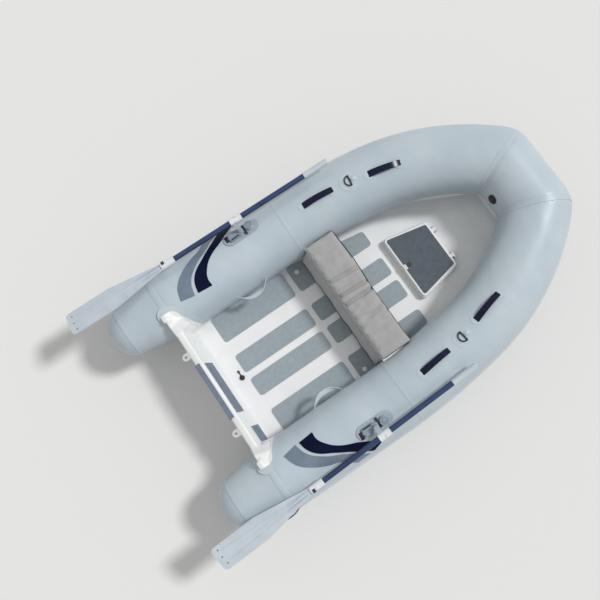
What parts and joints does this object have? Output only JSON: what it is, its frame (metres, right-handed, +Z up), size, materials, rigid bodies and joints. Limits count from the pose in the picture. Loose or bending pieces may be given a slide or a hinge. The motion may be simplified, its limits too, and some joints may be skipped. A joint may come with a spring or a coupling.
{
  "type": "rigid inflatable boat tender",
  "caption": "Small rigid inflatable tender: air tubes on a V hull, decked floor, bow locker, seat, raked transom and two stowed oars on swivelling rowlocks.",
  "frame": {"origin": "on the floor under the middle of the overall length, on the centreline", "axes": "+X forward to the bow, +Y to port, +Z up"},
  "size_m": [3.0679, 1.8576, 0.7003],
  "materials": {
    "tube_fabric": "satin",
    "white_grp": "gloss",
    "deck_foam": "matte",
    "blue_grey_pad": "matte",
    "dark_pad": "matte",
    "navy_plastic": "satin",
    "white_plastic": "satin",
    "stainless": "polished",
    "seat_fabric": "matte",
    "anodised_blue": "satin",
    "pale_plastic": "satin",
    "black_plastic": "satin"
  },
  "bodies": {
    "boat": {"tube_port": "tube_fabric", "tube_starboard": "tube_fabric", "tube_bow": "tube_fabric", "tube_end_port": "tube_fabric", "tube_end_starboard": "tube_fabric", "rub_strake_port": "blue_grey_pad", "rub_strake_starboard": "blue_grey_pad", "rub_strake_bow": "blue_grey_pad", "hull": "white_grp", "keel_guard": "blue_grey_pad", "deck_pads_aft": "deck_foam", "deck_pads_forward": "deck_foam", "drain_plug": "black_plastic", "deck_eyes": "white_plastic", "transom": "white_grp", "transom_knee_port": "white_grp", "transom_knee_starboard": "white_grp", "motor_pad_outer": "blue_grey_pad", "motor_pad_inner": "blue_grey_pad", "transom_small_pad": "blue_grey_pad", "tow_eyes": "stainless", "locker_coaming": "white_grp", "locker_hinges": "stainless", "seat_cushion": "seat_fabric", "seat_board": "white_plastic", "seat_bag": "seat_fabric", "seat_bracket_port": "white_plastic", "seat_bracket_starboard": "white_plastic", "grab_handles_port": "navy_plastic", "grab_handles_starboard": "navy_plastic", "d_ring_port": "stainless", "d_ring_starboard": "stainless", "lifting_strap_port": "white_plastic", "lifting_strap_starboard": "white_plastic", "air_valve_bow": "white_plastic", "bow_eye": "stainless", "rowlock_port": "white_plastic", "rowlock_starboard": "white_plastic"},
    "port_oar": {"oar_swivel_port": "white_plastic", "oar_clamp_port": "white_plastic", "oar_shaft_port": "anodised_blue", "oar_grip_port": "pale_plastic", "oar_collar_port": "white_plastic", "oar_blade_port": "pale_plastic"},
    "starboard_oar": {"oar_swivel_starboard": "white_plastic", "oar_clamp_starboard": "white_plastic", "oar_shaft_starboard": "anodised_blue", "oar_grip_starboard": "pale_plastic", "oar_collar_starboard": "white_plastic", "oar_blade_starboard": "pale_plastic"},
    "locker_lid": {"locker_lid": "white_grp", "locker_lid_pad": "dark_pad", "locker_latch": "stainless"}
  },
  "joints": [
    {"name": "locker_lid_hinge", "type": "hinge", "parent": "boat", "child": "locker_lid", "pos_m": [0.76388, 0, 0.2333], "axis": [0, 1, 0], "range_deg": [0, 100]},
    {"name": "port_oar_swivel", "type": "hinge", "parent": "boat", "child": "port_oar", "pos_m": [-0.32147, 0.74608, 0.597], "axis": [0.0523, -0.3497, -0.9354], "range_deg": [0, 100]},
    {"name": "starboard_oar_swivel", "type": "hinge", "parent": "boat", "child": "starboard_oar", "pos_m": [-0.32147, -0.74608, 0.597], "axis": [-0.0523, -0.3497, 0.9354], "range_deg": [0, 100]}
  ]
}
